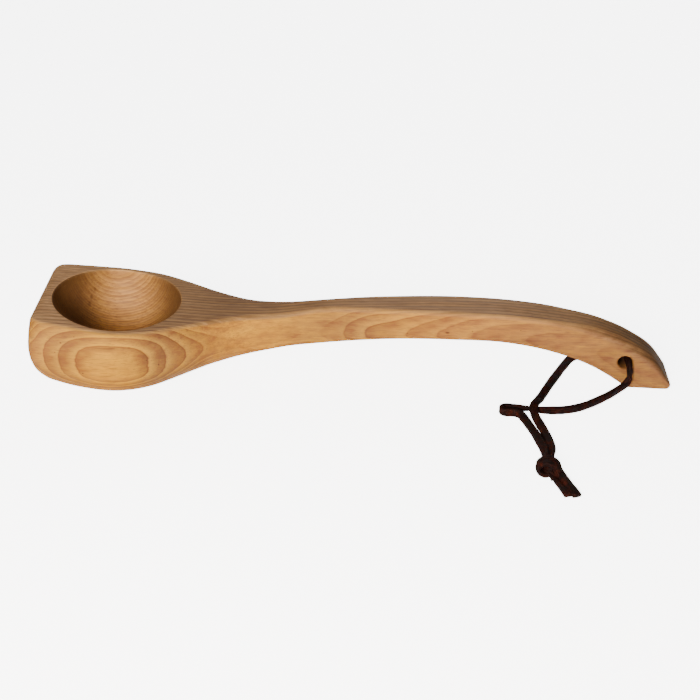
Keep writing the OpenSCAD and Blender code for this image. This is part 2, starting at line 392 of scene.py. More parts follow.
# Down the lace is towards the near side, against +Y
DOWN_THE_LACE = np.array([1, -1, 1])
KNOT_STRANDS = {
    "near": [
        [-0.4, -6.0, -0.6, 0.1, 0.0, 1.0],
        [-0.6, -3.0, -0.8, 0.0, -0.2, 1.0],
        [0.2, 0.6, -1.6, -0.2, -0.9, 0.4],
        [3.0, 1.8, -2.8, 0.0, -1.0, 0.1],
        [5.6, 1.0, -1.6, 0.1, -1.0, 0.0],
        [6.0, -0.6, 0.9, 0.3, -1.0, 0.1],
        [3.4, -2.0, 3.3, 0.4, -1.0, 0.1],
        [0.0, -3.0, 4.0, 0.35, -1.0, 0.0],
        [-3.2, -3.1, 3.3, 0.2, -1.0, 0.0],
        [-5.8, -2.8, 0.6, 0.1, -1.0, 0.0],
        [-5.3, -2.2, -2.2, 0.0, -1.0, 0.1],
        [-2.6, -1.4, -3.6, -0.3, -1.0, 0.1],
        [0.2, 0.4, -3.2, -0.8, -0.7, 0.0],
        [1.6, 2.2, -2.6, -1.0, -0.3, 0.0],
        [3.0, 4.8, -2.8, -1.0, -0.3, 0.0],
        [3.8, 7.0, -3.4, -1.0, -0.3, 0.0],
    ],
    "far": [
        [2.1, -6.0, -0.4, 0.1, 0.0, 1.0],
        [2.0, -3.0, -0.4, 0.0, -0.2, 1.0],
        [2.2, 1.4, -0.8, -0.2, -0.9, 0.4],
        [4.4, 4.0, -1.9, 0.0, -1.0, 0.1],
        [6.3, 3.6, -0.4, 0.2, -1.0, 0.0],
        [5.6, 2.3, 1.9, 0.4, -1.0, 0.1],
        [2.6, 1.2, 3.5, 0.45, -1.0, 0.1],
        [-0.8, 0.6, 3.9, 0.3, -1.0, 0.0],
        [-4.0, 0.4, 2.9, 0.1, -1.0, 0.0],
        [-6.5, 0.9, 0.2, 0.0, -1.0, 0.0],
        [-5.0, 1.6, -2.4, -0.1, -1.0, 0.1],
        [-2.0, 2.2, -3.4, -0.4, -1.0, 0.1],
        [1.4, 1.8, -1.2, -0.9, -0.5, 0.2],
        [4.2, 1.6, 0.2, -1.0, -0.4, 0.2],
        [5.4, 3.8, -0.2, -1.0, -0.4, 0.1],
        [6.9, 6.0, -1.4, -1.0, -0.4, 0.1],
    ],
}

# Points around one corner and along one broad face of the strip's section
CORNER_STEPS = 3
FACE_STEPS = 5
# Radius of the section's corners, as a share of the strip's thickness
CORNER_SHARE = 0.32


def strip_section(width, thickness):
    """Points of the strip's section in order: a rectangle with rounded corners."""
    r = CORNER_SHARE * thickness
    a, b = width / 2 - r, thickness / 2 - r
    points = []
    for cx, cy, start in ((a, b, 0), (-a, b, 90), (-a, -b, 180), (a, -b, 270)):
        for k in range(CORNER_STEPS + 1):
            turn = math.radians(start + 90 * k / CORNER_STEPS)
            points.append((cx + r * math.cos(turn), cy + r * math.sin(turn)))
        if start in (0, 180):
            side = 1 if start == 0 else -1
            for k in range(1, FACE_STEPS):
                share = 1 - 2 * k / FACE_STEPS
                points.append((side * a * share, side * thickness / 2))
    return np.array(points)


def strip_mesh(centres, across, width, thickness, seed):
    """Closed skin of a leather strip: points, faces. Its width and its thickness waver a
    little along it, by the seed."""
    rng = np.random.default_rng(seed)
    n = len(centres)
    ahead = unit(np.gradient(centres, axis=0))
    across = unit(across - (across * ahead).sum(1, keepdims=True) * ahead)
    through = np.cross(ahead, across)
    section = strip_section(width, thickness)
    m = len(section)

    def waver(size, reach):
        """A factor near 1 for each ring, smoothed over as many rings as reach says."""
        raw = rng.normal(size=n + 2 * reach)
        window = np.hanning(2 * reach + 1)
        smooth = np.convolve(raw, window / np.sqrt((window**2).sum()), mode="valid")
        return 1 + size * smooth[:n]

    wide = waver(0.025, 6)
    thick = waver(0.035, 4)
    points = (
        centres[:, None]
        + across[:, None] * (section[:, 0] * wide[:, None])[:, :, None]
        + through[:, None] * (section[:, 1] * thick[:, None])[:, :, None]
    )
    faces = []
    for i in range(n - 1):
        for j in range(m):
            k = (j + 1) % m
            faces.append((i * m + j, i * m + k, (i + 1) * m + k, (i + 1) * m + j))
    faces.append(tuple(range(m - 1, -1, -1)))
    faces.append(tuple((n - 1) * m + j for j in range(m)))
    return points.reshape(-1, 3), faces


def routed_strip(name, route, seed):
    """A strip laid along a route: the object, and its centreline in metres."""
    rows = smooth_path([[x / MM, y / MM, z / MM, turn] for x, y, z, turn in route], RING_SPACING)
    centres = rows[:, :3]
    turn = np.radians(rows[:, 3])[:, None]
    ahead = unit(np.gradient(centres, axis=0))
    level = unit(np.stack([ahead[:, 1], -ahead[:, 0], np.zeros(len(ahead))], 1))
    upright = np.cross(ahead, level)
    across = level * np.cos(turn) + upright * np.sin(turn)
    points, faces = strip_mesh(centres, across, LACE_WIDTH / MM, LACE_THICKNESS / MM, seed)
    points[:, 2] = np.maximum(points[:, 2], OFF_TABLE)
    return add_mesh(name, points, faces, LEATHER), centres * MM


def knot_strand(name, rows, seed):
    """One of the knot's two strands, through its rows of points."""
    path = smooth_path(rows, KNOT_RING_SPACING)
    centres = KNOT_MIDDLE + path[:, :3] * KNOT_TIGHTENED * DOWN_THE_LACE
    across = path[:, 3:] * DOWN_THE_LACE
    points, faces = strip_mesh(centres, across, *KNOT_STRIP, seed)
    points[:, 2] = np.clip(points[:, 2], KNOT_LOWEST, KNOT_HIGHEST)
    return add_mesh(name, points, faces, LEATHER)


def make_lace():
    near, near_line = routed_strip("lace_near", NEAR_ROUTE, 11)
    far, far_line = routed_strip("lace_far", FAR_ROUTE, 12)
    left, _ = routed_strip("lace_tail_left", LEFT_TAIL, 13)
    right, _ = routed_strip("lace_tail_right", RIGHT_TAIL, 14)
    knot_near = knot_strand("lace_knot_near", KNOT_STRANDS["near"], 15)
    knot_far = knot_strand("lace_knot_far", KNOT_STRANDS["far"], 16)
    for piece, node in (
        (near, "lace_near_leg"),
        (far, "lace_far_leg"),
        (left, "lace_left_tail"),
        (right, "lace_right_tail"),
        (knot_near, "lace_knot"),
        (knot_far, "lace_knot"),
    ):
        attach(piece, "root")
        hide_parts(node)


make_lace()


# ---------------------------------------------------------------------------------------------
# Ladle: the design's own lines, in millimetres
# ---------------------------------------------------------------------------------------------
HEAD_END, TIP_END = -200, 200
TOP_LINE = [
    (-200, 57.5), (-175, 54.5), (-145, 51), (-115, 49.5), (-85, 48), (-50, 47.5), (-15, 51.5),
    (25, 52.5), (65, 52), (100, 50), (130, 45.8), (155, 40.3), (175, 30.6), (190, 18.8), (200, 4),
]
BOTTOM_LINE = [
    (-200, 7), (-175, 1), (-150, -0.5), (-125, 2), (-100, 8.5), (-75, 16), (-50, 22.5),
    (-20, 25.5), (20, 30.5), (60, 32), (95, 30.5), (125, 24), (150, 14), (172, 0), (185, -10),
    (200, -20),
]
SIDE_LINE = [
    (-200, 43.5), (-172, 47), (-148, 48.5), (-128, 44.5), (-110, 35.5), (-90, 23.5), (-70, 14),
    (-45, 10), (-20, 8), (15, 10.5), (60, 13), (110, 13), (155, 12.5), (200, 15),
]
PLANED_OFF = 0.5
# Radii of the softened edges, as in the design
TOP_ROUND, TIP_EDGE_ROUND = 3, 7
END_TOP_ROUND, END_BOTTOM_ROUND = 6, 10.5
END_CORNER_ROUND, END_CORNER_LOW = 11, 3
TIP_BOTTOM_ROUND, TIP_SIDE_ROUND = 3.2, 2
# How far the sides swell out, and how tall and wide they round under: handle, head
SWELL = (0.4, 4.5)
UNDER_TALL = (4, 34)
UNDER_WIDE = (4, 32)
SHOULDER_START, SHOULDER_END = -125, -50
BOWL_MIDDLE = np.array([-151.5, 0.0, float(along(TOP_LINE, -151.5))])
BOWL_RADIUS = 40
HOLE_X, HOLE_Z, HOLE_RADIUS = 170, 19, 4.5
# How far the bowl's rim and the hole's mouths are rounded over
RIM_ROUND = 0.9
MOUTH_ROUND = 1.2


def quarter(d, r):
    """How far a quarter round of radius r draws the surface in, at depth d behind the end."""
    d = np.minimum(d, r)
    return r - np.sqrt(r**2 - (r - d) ** 2)


def shoulder(x):
    return 1 - ease((x - SHOULDER_START) / (SHOULDER_END - SHOULDER_START))


def blend(pair, x):
    handle, head = pair
    return handle + (head - handle) * shoulder(x)


def top_at(x):
    return along(TOP_LINE, x) - quarter(x - HEAD_END, END_TOP_ROUND)


def edge_round(x):
    return TOP_ROUND + (TIP_EDGE_ROUND - TOP_ROUND) * ease((x - HOLE_X + 55) / 50)


def swell_at(x):
    """How far the side face draws in at the top edge, which makes the corners rounder there."""
    from_end = x - HEAD_END
    return blend(SWELL, x) + quarter(from_end, END_CORNER_ROUND) - quarter(from_end, END_CORNER_LOW)


def outline(x):
    """The section's measures at each x: top, bottom, half width and the rest, in one dict."""
    x = np.asarray(x, float)
    top = top_at(x)
    bottom = np.maximum(along(BOTTOM_LINE, x), -PLANED_OFF)
    bottom = bottom + quarter(x - HEAD_END, END_BOTTOM_ROUND)
    bottom = bottom + quarter(TIP_END - x, TIP_BOTTOM_ROUND)
    half = along(SIDE_LINE, x)
    half = half - quarter(x - HEAD_END, END_CORNER_LOW) - quarter(TIP_END - x, TIP_SIDE_ROUND)
    tall = np.minimum(blend(UNDER_TALL, x), 0.6 * (top - bottom))
    wide = np.minimum(blend(UNDER_WIDE, x), 0.95 * half)
    bulge = swell_at(x)
    r = np.minimum(edge_round(x), 0.3 * (top - bottom))
    widest = bottom + tall
    lean = np.arctan(2 * bulge * (top - r - widest) / (top - widest) ** 2)
    edge_z = top - r * (1 - np.sin(lean))
    edge_y = half - bulge * ((edge_z - widest) / (top - widest)) ** 2 - r * np.cos(lean)
    return {
        "x": x, "top": top, "bottom": bottom, "half": half, "tall": tall, "wide": wide,
        "bulge": bulge, "r": r, "widest": widest, "lean": lean, "edge_z": edge_z, "edge_y": edge_y,
    }


def side_y(x, z):
    """Half width of the side face at a height between its widest place and its top edge."""
    o = outline(x)
    return o["half"] - o["bulge"] * ((z - o["widest"]) / (o["top"] - o["widest"])) ** 2


# A point's shares: side, 1 where it shows the side's rings and 0 where it shows the top's;
# upper, for the top's browner wood, which is partly painted shade of the top face; worn, for a
# painted highlight of paler wood along rounded edges;
# rings_shown, for how clearly its rings show
SHARES = ("side", "brown_and_shade", "edge_highlight", "rings_shown")
ON_TOP = (0.0, 1.0, 0.0, 1.0)
IN_BOWL = (0.0, 0.35, 0.0, 0.55)
ON_SIDE = (1.0, 0.0, 0.0, 1.0)
# Points across each stretch of the section
TOP_SPLITS = 28
EDGE_SPLITS = 8
SIDE_SPLITS = 16
UNDER_SPLITS = 14
BOTTOM_SPLITS = 8
# Rings of points: around the bowl and the hole on the outer faces, round their edges, and
# down the bowl and through the hole
BOWL_SURROUND, MOUTH_SURROUND = 5, 6
EDGE_RINGS = 6
BOWL_RINGS = 40
WALL_RINGS = 14
# Room that is left around the bowl and around the hole's mouths
BOWL_ROOM = 3
MOUTH_ROOM = 5
# How strongly the bowl's rim and the edges along the top get a painted highlight of paler wood
RIM_HIGHLIGHT = 0.3
EDGE_HIGHLIGHT = 0.5


def half_rows(o):
    """Rows of one half of the section, from the top's edge to the bottom: y, z, shares. The
    side's paler wood starts further over the edge behind the head and at the tip, where the top's
    painted shade follows the edge's shading, and a painted highlight of paler wood lies along the
    edge everywhere but at the tip."""
    rows = []
    behind_head = ease((o["x"] + 112) / 20) * (1 - ease((o["x"] + 50) / 35))
    at_tip = ease((o["x"] - 120) / 45)
    # Painted highlight of paler wood along the rounded top edge, strongest mid-way round it
    highlight_most = EDGE_HIGHLIGHT * (1 - ease((o["x"] - 115) / 40))
    for k in range(1, EDGE_SPLITS + 1):
        part = k / EDGE_SPLITS
        a = (math.pi / 2 - o["lean"]) * part
        y = o["edge_y"] + o["r"] * np.sin(a)
        z = o["top"] - o["r"] * (1 - np.cos(a))
        share = ease((part - 0.2 - 0.3 * at_tip - 0.35 * behind_head) / 0.6)
        edge_highlight = highlight_most * math.sin(math.pi * part)
        rows.append((y, z, (share, 1 - share, edge_highlight, 1.0)))
    for k in range(1, SIDE_SPLITS + 1):
        z = o["edge_z"] + (o["widest"] - o["edge_z"]) * k / SIDE_SPLITS
        y = o["half"] - o["bulge"] * ((z - o["widest"]) / (o["top"] - o["widest"])) ** 2
        rows.append((y, z, ON_SIDE))
    for k in range(1, UNDER_SPLITS + 1):
        a = math.pi / 2 * k / UNDER_SPLITS
        y = o["half"] - o["wide"] * (1 - np.cos(a))
        z = o["bottom"] + o["tall"] * (1 - np.sin(a))
        under = 1 - ease((k / UNDER_SPLITS - 0.3) / 0.6) * (1 - shoulder(o["x"]))
        rows.append((y, z, (under, 0.0, 0.0, 1.0)))
    return rows


STATION_SPACING = 1.6
TIP_REACH = 12


def stations():
    """Places of the sections along X: closer together where the end and the tip curve."""
    turns = np.radians(np.arange(0, 91, 8))
    start = HEAD_END + END_BOTTOM_ROUND * (1 - np.cos(turns))
    body = np.arange(HEAD_END + END_BOTTOM_ROUND, TIP_END - TIP_REACH, STATION_SPACING)
    end = TIP_END - TIP_REACH * (1 - np.sin(turns))
    return np.concatenate([start, body, end, [TIP_END]])


def rows_between(boundary, rim, steps):
    """Rows of points from a boundary loop to a rim loop, without the boundary itself."""
    return [boundary + (rim - boundary) * k / steps for k in range(1, steps + 1)]


def make_sections():
    """The ladle's closed sections before the bowl and the hole: points and shares, by station
    and place around the section."""
    x = stations()
    o = outline(x)
    rows = half_rows(o)
    flat = [1 - 2 * k / TOP_SPLITS for k in range(TOP_SPLITS + 1)]
    ring = [(o["edge_y"] * s, o["top"], ON_TOP) for s in flat]
    ring += [(-y, z, own) for y, z, own in rows]
    last_y, last_z, last = rows[-1]
    for k in range(1, BOTTOM_SPLITS):
        ring.append((-last_y * (1 - 2 * k / BOTTOM_SPLITS), last_z, last))
    ring += rows[::-1]
    points = np.zeros((len(x), len(ring), 3))
    shares = np.zeros((len(x), len(ring), len(SHARES)))
    for j, (y, z, own) in enumerate(ring):
        points[:, j, 0] = x
        points[:, j, 1] = y
        points[:, j, 2] = np.maximum(z, 0)
        for k, share in enumerate(own):
            shares[:, j, k] = share
    return points, shares


class Skin:
    """Points, faces and the points' shares, gathered while the ladle's patches are made."""

    def __init__(self):
        self.points = []
        self.shares = []
        self.faces = []

    def add(self, points, shares):
        first = len(self.points)
        self.points.extend(np.asarray(points, float).tolist())
        self.shares.extend(np.broadcast_to(shares, (len(points), len(SHARES))).tolist())
        return list(range(first, len(self.points)))

    def band(self, a, b):
        """Quads between two closed loops of the same length."""
        for i in range(len(a)):
            j = (i + 1) % len(a)
            self.faces.append((a[i], a[j], b[j], b[i]))


def bands(skin, loops):
    for a, b in zip(loops, loops[1:]):
        skin.band(a, b)


def directions(first, second):
    """Angles of points around a middle, and unit steps that way."""
    angle = np.arctan2(second, first)
    return angle, np.stack([np.cos(angle), np.sin(angle)], 1)


def add_bowl(skin, edge):
    """From the top's face to the rim, round the rim, and down the ball to its lowest point."""
    flat = np.array([skin.points[i] for i in edge])
    middle = BOWL_MIDDLE[:2]
    _, way = directions(flat[:, 0] - middle[0], flat[:, 1] - middle[1])
    outer = middle + way * (BOWL_RADIUS + RIM_ROUND)
    loops = [edge]
    for row in rows_between(flat[:, :2], outer, BOWL_SURROUND):
        loops.append(skin.add(np.column_stack([row, top_at(row[:, 0])]), ON_TOP))
    rim_z = top_at(middle[0] + way[:, 0] * BOWL_RADIUS) - RIM_ROUND
    lift = np.arcsin((rim_z - BOWL_MIDDLE[2]) / BOWL_RADIUS)
    inner = BOWL_RADIUS * np.cos(lift)
    for k in range(1, EDGE_RINGS + 1):
        share = k / EDGE_RINGS
        a = math.pi / 2 * share
        reach = inner + (BOWL_RADIUS + RIM_ROUND - inner) * (1 - math.sin(a))
        flat_xy = middle + way * reach[:, None]
        z = rim_z + (top_at(flat_xy[:, 0]) - rim_z) * math.cos(a)
        # Painted highlight of paler wood along the rounded rim
        edge_highlight = RIM_HIGHLIGHT * math.sin(math.pi * k / (EDGE_RINGS + 1))
        brown_and_shade = 1 - (1 - IN_BOWL[1]) * share
        shown = 1 - (1 - IN_BOWL[3]) * share
        loops.append(skin.add(np.column_stack([flat_xy, z]), (0.0, brown_and_shade, edge_highlight, shown)))
    for k in range(1, BOWL_RINGS):
        down = lift + (-math.pi / 2 - lift) * k / BOWL_RINGS
        flat_xy = middle + way * (BOWL_RADIUS * np.cos(down))[:, None]
        z = BOWL_MIDDLE[2] + BOWL_RADIUS * np.sin(down)
        loops.append(skin.add(np.column_stack([flat_xy, z]), IN_BOWL))
    bands(skin, loops)
    pole = skin.add([BOWL_MIDDLE - [0, 0, BOWL_RADIUS]], IN_BOWL)[0]
    for i in range(len(edge)):
        skin.faces.append((loops[-1][i], loops[-1][(i + 1) % len(edge)], pole))


def add_mouth(skin, edge, sign):
    """One mouth of the hanging hole, from the side's face round its edge to the hole's wall.
    Gives the wall's first loop, in order of angle."""
    flat = np.array([skin.points[i] for i in edge])
    middle = np.array([HOLE_X, HOLE_Z])
    angle, way = directions(flat[:, 0] - HOLE_X, flat[:, 2] - HOLE_Z)
    wall = middle + way * HOLE_RADIUS
    mouth = middle + way * (HOLE_RADIUS + MOUTH_ROUND)
    loops = [edge]
    for row in rows_between(flat[:, [0, 2]], mouth, MOUTH_SURROUND):
        y = sign * side_y(row[:, 0], row[:, 1])
        loops.append(skin.add(np.column_stack([row[:, 0], y, row[:, 1]]), ON_SIDE))
    for k in range(1, EDGE_RINGS + 1):
        a = math.pi / 2 * k / EDGE_RINGS
        row = wall + (mouth - wall) * (1 - math.sin(a))
        y = sign * (side_y(row[:, 0], row[:, 1]) - MOUTH_ROUND * (1 - math.cos(a)))
        loops.append(skin.add(np.column_stack([row[:, 0], y, row[:, 1]]), ON_SIDE))
    bands(skin, loops)
    return [loops[-1][i] for i in np.argsort(angle)]


def add_hole_wall(skin, near, far):
    start = np.array([skin.points[i] for i in near])
    end = np.array([skin.points[i] for i in far])
    loops = [near]
    for k in range(1, WALL_RINGS):
        loops.append(skin.add(start + (end - start) * k / WALL_RINGS, ON_SIDE))
    loops.append(far)
    bands(skin, loops[::-1])


def make_ladle():
    """The ladle's skin: the sections' grid, with blocks left open for the bowl and the hole."""
    points, shares = make_sections()
    n, m = points.shape[:2]
    skin = Skin()
    grid = np.array(skin.add(points.reshape(-1, 3), shares.reshape(n * m, -1))).reshape(n, m)
    x = points[:, 0, 0]
    bowl_reach, mouth_reach = BOWL_RADIUS + BOWL_ROOM, HOLE_RADIUS + MOUTH_ROOM
    bowl_i = np.searchsorted(x, [BOWL_MIDDLE[0] - bowl_reach, BOWL_MIDDLE[0] + bowl_reach])
    hole_i = np.searchsorted(x, [HOLE_X - mouth_reach, HOLE_X + mouth_reach])
    side_start = TOP_SPLITS + EDGE_SPLITS
    near_j = (side_start + 1, side_start + SIDE_SPLITS - 2)
    far_j = (m - near_j[1] + TOP_SPLITS, m - near_j[0] + TOP_SPLITS)
    bowl_block = (*bowl_i, 0, TOP_SPLITS)
    near_block = (*hole_i, *near_j)
    far_block = (*hole_i, *far_j)

    def in_block(i, j):
        blocks = (bowl_block, near_block, far_block)
        return any(i0 <= i < i1 and j0 <= j < j1 for i0, i1, j0, j1 in blocks)

    def loop(block):
        i0, i1, j0, j1 = block
        return (
            [grid[i, j0] for i in range(i0, i1)]
            + [grid[i1, j] for j in range(j0, j1)]
            + [grid[i, j1] for i in range(i1, i0, -1)]
            + [grid[i0, j] for j in range(j1, j0, -1)]
        )

    for i in range(n - 1):
        for j in range(m):
            if not in_block(i, j):
                k = (j + 1) % m
                skin.faces.append((grid[i, j], grid[i, k], grid[i + 1, k], grid[i + 1, j]))
    skin.faces.append(tuple(grid[0, ::-1]))
    skin.faces.append(tuple(grid[-1]))
    add_bowl(skin, loop(bowl_block))
    near = add_mouth(skin, loop(near_block), -1)
    far = add_mouth(skin, loop(far_block), 1)
    add_hole_wall(skin, near, far)
    return skin


# ---------------------------------------------------------------------------------------------
# Growth rings. The wood's layers stand nearly upright along the ladle, so they show as straight
# lines on top, as arcs in the bowl, and as ovals and long tongues on the side faces.
# ---------------------------------------------------------------------------------------------
# How far one layer wanders across, at each x: as the top shows it, and as the near side does
RINGS_LEAN_TOP = [
    (-205, -8), (-177, -4.3), (-150, 0), (-130, 1), (-100, 1), (-12, 3.6), (205, 13.5),
]
RINGS_LEAN_SIDE = [
    (-205, -5.6), (-190, -3.4), (-180, -2.4), (-170, -1.4), (-150, 0), (-127, 1.8), (-116, 4.8),
    (-104, 9.5), (-96, 12.7), (-90, 14.9), (-80, 19.2), (-70, 23.6), (-45, 27.6), (-30, 29.1),
    (-20, 30.1), (-12, 30.9), (4, 31.6), (25, 31.7), (47, 32.7), (69, 34.3), (99, 36.6),
    (139, 39.1), (205, 43.1),
]
# Height where the layers bow furthest to the far side, and how strongly they bend back to the
# near side above and below it: thousandths of the square of the height from there
RINGS_MIDDLE = [
    (-205, 22), (-150, 24), (-100, 27.5), (-54, 34), (-34, 36.3), (-12, 35.8), (50, 35),
    (110, 34.6), (140, 30), (170, 20), (205, 5),
]
RINGS_BEND = [
    (-205, 3.3), (-130, 3.3), (-100, 5), (-70, 12), (-35, 12.5), (0, 13.5), (85, 13.5),
    (110, 18), (205, 18),
]
# Where the head's rings begin and end along X, and where they stop being squared
HEAD_RINGS = (-195, -95)
SQUARED_TO = -97
# The lowest number on the head's near side, where the count stops in the innermost ring
INNER_RING = -60.72
# Distance between rings at the middle of the ladle, how much less it is for each millimetre
# across, and a start for the count
RING_DISTANCE = 1.6
RING_NARROWING = 0.013
RING_START = 0.4


def ring_number(s):
    """The running number of the growth ring at the layer s, in millimetres across the ladle:
    the rings are 2.2 mm apart on the near side and 1.1 mm on the far side."""
    return RING_START - np.log(RING_DISTANCE - RING_NARROWING * s) / RING_NARROWING


def squared(s, x):
    """The head's near side shows its layers as rounded boxes instead of ovals: a point's layer
    is counted from the innermost one, once along and once up or down, and the two counts are
    joined by a higher power than a plain sum."""
    middle = np.linspace(*HEAD_RINGS, 101)
    z = along(RINGS_MIDDLE, middle)
    across = -side_y(middle, np.maximum(z, outline(middle)["widest"]))
    deepest = across - along(RINGS_LEAN_SIDE, middle)
    low = deepest.min()
    ahead = np.interp(x, middle, deepest) - low
    down = np.maximum(s - low - ahead, 0)
    power = 1 + 0.7 * (1 - ease((x + 128) / 30))
    return low + (ahead**power + down**power) ** (1 / power)


def ring_layers(p):
    """The ring numbers at each point, as the top and as the sides show them."""
    x, y, z = p[:, 0], p[:, 1], p[:, 2]
    bend = along(RINGS_BEND, x) / 1000 * (z - along(RINGS_MIDDLE, x)) ** 2
    base = along(RINGS_LEAN_TOP, x)
    near = 1 - ease((y + 10) / 20)
    lean = base + (along(RINGS_LEAN_SIDE, x) - base) * near
    side = y - lean + bend
    head = near * (x < SQUARED_TO)
    side = side + (squared(side, x) - side) * head
    number = ring_number(side)
    number = np.where(head > 0, np.maximum(number, INNER_RING), number)
    return ring_number(y - base + bend), number


# How clearly the rings show, at each x
SHOWN_LINE = [
    (-205, 0.95), (-96, 0.95), (-84, 0.5), (-40, 0.35), (-22, 0.25), (-8, 0.75), (60, 0.75),
    (110, 0.6), (160, 0.25), (205, 0.25),
]
# How light the wood is at each x, on the side and on the top, and in the bowl; the top is set
# darker than the bowl, partly as painted shade of the top face
SIDE_TONE_LINE = [
    (-205, 0.88), (-170, 0.92), (-155, 1.04), (-140, 0.98), (-122, 0.72), (-105, 0.8), (-85, 1),
    (-55, 1), (-35, 0.85), (0, 0.82), (30, 1), (60, 1), (90, 0.95), (130, 0.85), (205, 0.72),
]
TOP_TONE_LINE = [
    (-205, 1.2), (-180, 1.15), (-140, 1), (-110, 0.88), (-80, 0.7), (-40, 0.76), (20, 0.98),
    (60, 1), (110, 0.9), (150, 0.82), (170, 0.64), (205, 0.5),
]
BOWL_TONE = 1.5
# The side wood's share of blue at each x: under 1 is yellower, over 1 is greyer
COOL_LINE = [
    (-205, 0.9), (-180, 0.8), (-162, 0.55), (-140, 0.5), (-120, 0.9), (-100, 0.85), (-60, 0.72),
    (-20, 0.9), (10, 1), (60, 1.15), (110, 1.45), (160, 1.35), (205, 1.35),
]

# Dark end grain on the bowl's walls, partly real end grain and partly painted shade of the walls,
# by the distance from its middle along x as a share of its
# radius: the share is stretched, then the grain darkens from the start over the run
END_GRAIN_PULL = 1.15
END_GRAIN_START = 0.1
END_GRAIN_RUN = 0.85
END_GRAIN_AND_SHADE_DARK = 0.86

# Small dark knots and marks, and last a painted shade in the hanging hole, fading out round its
# mouths: the middle in millimetres, half the size along x, y and z, and how dark
KNOTS_AND_HOLE_SHADE = [
    (57.5, -13, 38.5, 1.4, 1.1, 0.7, 0.75),
    (32.5, -11.5, 37, 0.5, 0.9, 0.4, 0.6),
    (73, -13, 40, 0.5, 0.9, 0.45, 0.6),
    (103, -13, 41, 0.45, 0.9, 0.4, 0.5),
    (-178.5, -45, 45, 0.7, 0.9, 0.6, 0.6),
    (-182.5, -45.5, 38.5, 0.5, 0.8, 0.5, 0.5),
    (-120.5, -40.5, 28.5, 0.6, 0.9, 0.7, 0.85),
    (-166.5, -46.5, 24.5, 0.6, 0.9, 0.6, 0.7),
    (-170, -44.5, 49, 0.5, 0.8, 0.4, 0.5),
    (-127, -44, 33, 0.5, 0.9, 0.4, 0.5),
    (-137, -45, 42.5, 1.2, 1, 0.5, 0.5),
    (-150, -47, 42.5, 6.5, 1.2, 0.45, 0.55),
    (-173, 32, 41.5, 0.9, 1.6, 1.6, 0.35),
    (-175, 29, 37.5, 0.9, 1.6, 1.8, 0.4),
    (-176, 26, 34, 0.9, 1.6, 1.6, 0.35),
    (181, -13.5, 20, 3.5, 1.4, 0.35, 0.35),
    (180, -13.5, 15.5, 2.6, 1.4, 0.35, 0.3),
    # Painted shade inside the hanging hole
    (170, 0, 19, 7, 15, 7, 1),
]

# One ring from its inner to its outer edge: how pale its early wood and how dark its late wood
EARLY_WOOD = [(0.0, 0.3), (0.10, 1.0), (0.40, 0.25), (0.60, 0.0)]
LATE_WOOD = [
    (0.0, 0.0), (0.40, 0.12), (0.70, 0.42), (0.89, 0.68), (0.93, 1.0), (0.98, 1.0), (1.0, 0.1),
]
# The side's honey wood and the top's browner wood, which is partly painted shade of the top face,
# from dark to light fibres
HONEY = [(0.42, (0.34, 0.134, 0.028)), (0.50, (0.49, 0.212, 0.034)), (0.58, (0.64, 0.295, 0.034))]
BROWN = [(0.42, (0.30, 0.156, 0.064)), (0.50, (0.40, 0.215, 0.090)), (0.58, (0.51, 0.28, 0.118))]


def off_middle(n, scale, detail, size):
    """Noise around 0, as wide as size."""
    noise = n.noise(n.position(scale), 1, detail)
    return n.math("MULTIPLY", n.math("SUBTRACT", noise, 0.5), size)


def ring_marks(n, side, wander):
    """How much each point shows of a ring's late wood, of its early wood, and of a band of
    several darker rings."""
    shift = n.math("ADD", wander, off_middle(n, (120, 400, 400), 3, 0.16))
    late, early, bands = [], [], []
    for key in ("rings_top", "rings_side"):
        at = n.math("ADD", n.attribute(key), shift)
        share = n.math("FRACT", at)
        which = n.math("FLOOR", at)
        strength = n.between(n.noise_1d(n.math("MULTIPLY", which, 7.31), 1.0), 0.3, 0.7, 0.6, 1.0)
        late.append(n.math("MULTIPLY", n.ramp(share, LATE_WOOD), strength))
        early.append(n.ramp(share, EARLY_WOOD))
        bands.append(n.noise_1d(at, 0.62, 1.0))
    shown = n.attribute("rings_shown")
    ring = n.math("MULTIPLY", n.mix_value(side, *late), shown)
    spring = n.math("MULTIPLY", n.mix_value(side, *early), shown)
    band = n.between(n.mix_value(side, *bands), 0.36, 0.64, 1.0, 0.0)
    return ring, spring, band


def fibre_tone(n, streaks):
    """The wood's light and dark fibres, from four sizes of noise drawn out along the ladle."""
    fibres = n.noise(n.position((110, 900, 900)), 1, 3, 0.7)
    mottle = n.noise(n.position((90, 330, 330)), 1, 3, 0.65)
    clouds = n.noise(n.position((28, 70, 70)), 1, 4, 0.6)
    tone = n.math("MULTIPLY", clouds, 0.32)
    for noise, part in ((streaks, 0.22), (fibres, 0.22), (mottle, 0.24)):
        tone = n.math("ADD", tone, n.math("MULTIPLY", noise, part))
    return tone


def top_lines(n, wander):
    """The thin dark and light lines that run along the top."""
    across = n.math("ADD", n.attribute("rings_top"), n.math("MULTIPLY", wander, 2.0))
    wave = n.math("SINE", n.math("MULTIPLY", across, 2.8))
    dark = n.between(wave, -0.1, 0.9, 0.0, 0.46)
    light = n.between(n.noise(n.position((4, 720, 40)), 1, 1, 0.5), 0.52, 0.62, 0.0, 0.40)
    return dark, light


def layered(n, colour, coats):
    """A colour with coats laid over it one by one, each as strong as its value times its part."""
    for value, part, coat in coats:
        colour = n.mix(n.math("MULTIPLY", value, part), colour, coat)
    return colour


